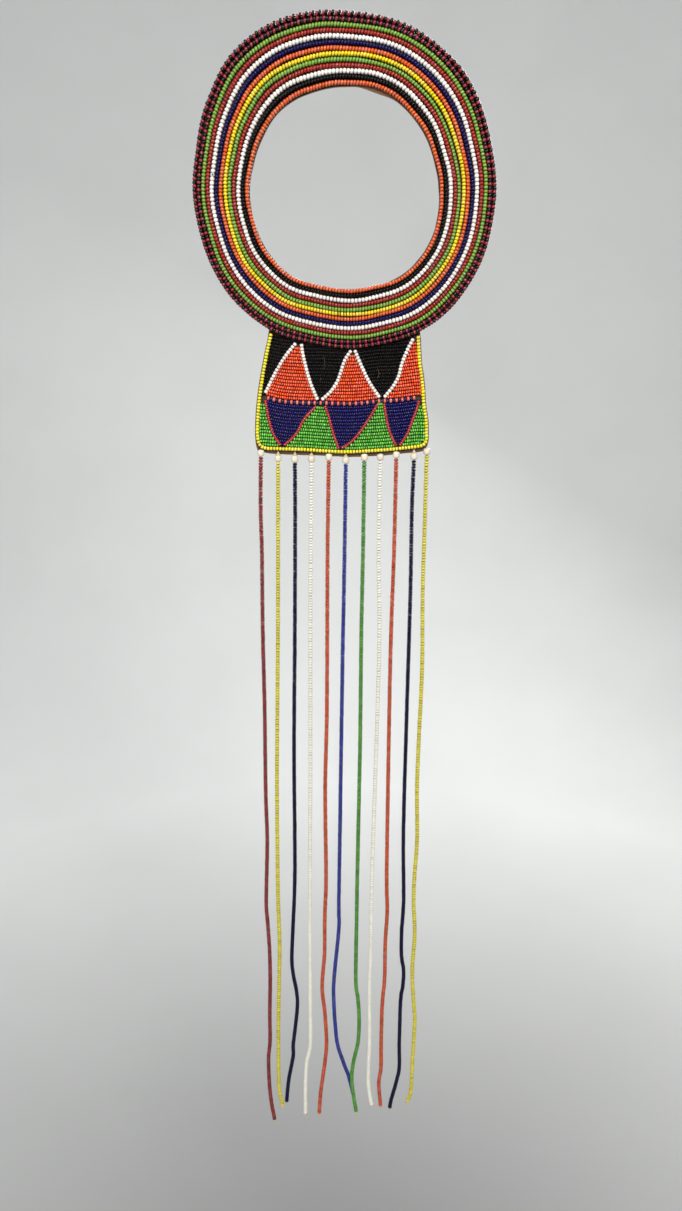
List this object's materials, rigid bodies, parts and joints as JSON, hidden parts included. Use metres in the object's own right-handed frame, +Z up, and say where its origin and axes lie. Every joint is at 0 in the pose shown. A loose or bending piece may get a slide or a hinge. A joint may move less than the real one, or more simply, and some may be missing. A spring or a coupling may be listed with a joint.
{
  "type": "beaded collar",
  "caption": "Flat ring collar of concentric rows of glass seed beads on leather, with a beaded leather panel below it and long bead strands hanging from cream beads.",
  "frame": {"origin": "on the inner edge of the ring's leather at its top, where the collar hangs, in the leather's middle plane", "axes": "+Z up along the hanging collar, +X to the viewer's right, +Y away from the viewer, through the ring from its beaded face to its back"},
  "size_m": [0.2256, 0.011, 0.9035],
  "materials": {
    "orange_beads": "glossy opaque seed beads, orange",
    "black_beads": "glossy opaque seed beads, black",
    "white_beads": "glossy opaque seed beads, warm white",
    "red_beads": "glossy opaque seed beads, brick red",
    "green_beads": "glossy opaque seed beads, light green",
    "yellow_beads": "glossy opaque seed beads, yellow",
    "navy_beads": "glossy opaque seed beads, navy",
    "blue_beads": "glossy opaque seed beads, royal blue",
    "edge_beads": "glossy opaque seed beads, pink-red and black by turns",
    "belt_beads": "glossy opaque seed beads, pink-orange and navy by turns",
    "head_beads": "glossy opaque beads, cream",
    "leather": "matt brown hide with a tan cut edge"
  },
  "bodies": {
    "root": {"ring_leather": "leather", "ring_row_01": "orange_beads", "ring_row_02": "black_beads", "ring_row_03": "white_beads", "ring_row_04": "red_beads", "ring_row_05": "green_beads", "ring_row_06": "yellow_beads", "ring_row_07": "orange_beads", "ring_row_08": "navy_beads", "ring_row_09": "white_beads", "ring_row_10": "red_beads", "ring_row_11": "green_beads", "ring_row_12": "edge_beads", "ring_row_13": "edge_beads", "panel_leather": "leather", "border_string": "yellow_beads", "belt_string": "belt_beads", "white_string_1": "white_beads", "white_string_2": "white_beads", "white_string_3": "white_beads", "white_string_4": "white_beads", "white_string_5": "white_beads", "red_string_1": "red_beads", "red_string_2": "red_beads", "red_string_3": "red_beads", "black_field_1": "black_beads", "black_field_2": "black_beads", "black_field_3": "black_beads", "orange_field_1": "orange_beads", "orange_field_2": "orange_beads", "orange_field_3": "orange_beads", "navy_field_1": "navy_beads", "navy_field_2": "navy_beads", "navy_field_3": "navy_beads", "green_field_1": "green_beads", "green_field_2": "green_beads", "green_field_3": "green_beads", "green_field_4": "green_beads", "head_bead_01": "head_beads", "head_bead_02": "head_beads", "head_bead_03": "head_beads", "head_bead_04": "head_beads", "head_bead_05": "head_beads", "head_bead_06": "head_beads", "head_bead_07": "head_beads", "head_bead_08": "head_beads", "head_bead_09": "head_beads", "head_bead_10": "head_beads", "head_bead_11": "head_beads", "strand_01": "red_beads", "strand_02": "yellow_beads", "strand_03": "navy_beads", "strand_04": "white_beads", "strand_05": "orange_beads", "strand_06": "blue_beads", "strand_07": "green_beads", "strand_08": "white_beads", "strand_09": "orange_beads", "strand_10": "navy_beads", "strand_11": "yellow_beads"}
  },
  "joints": []
}
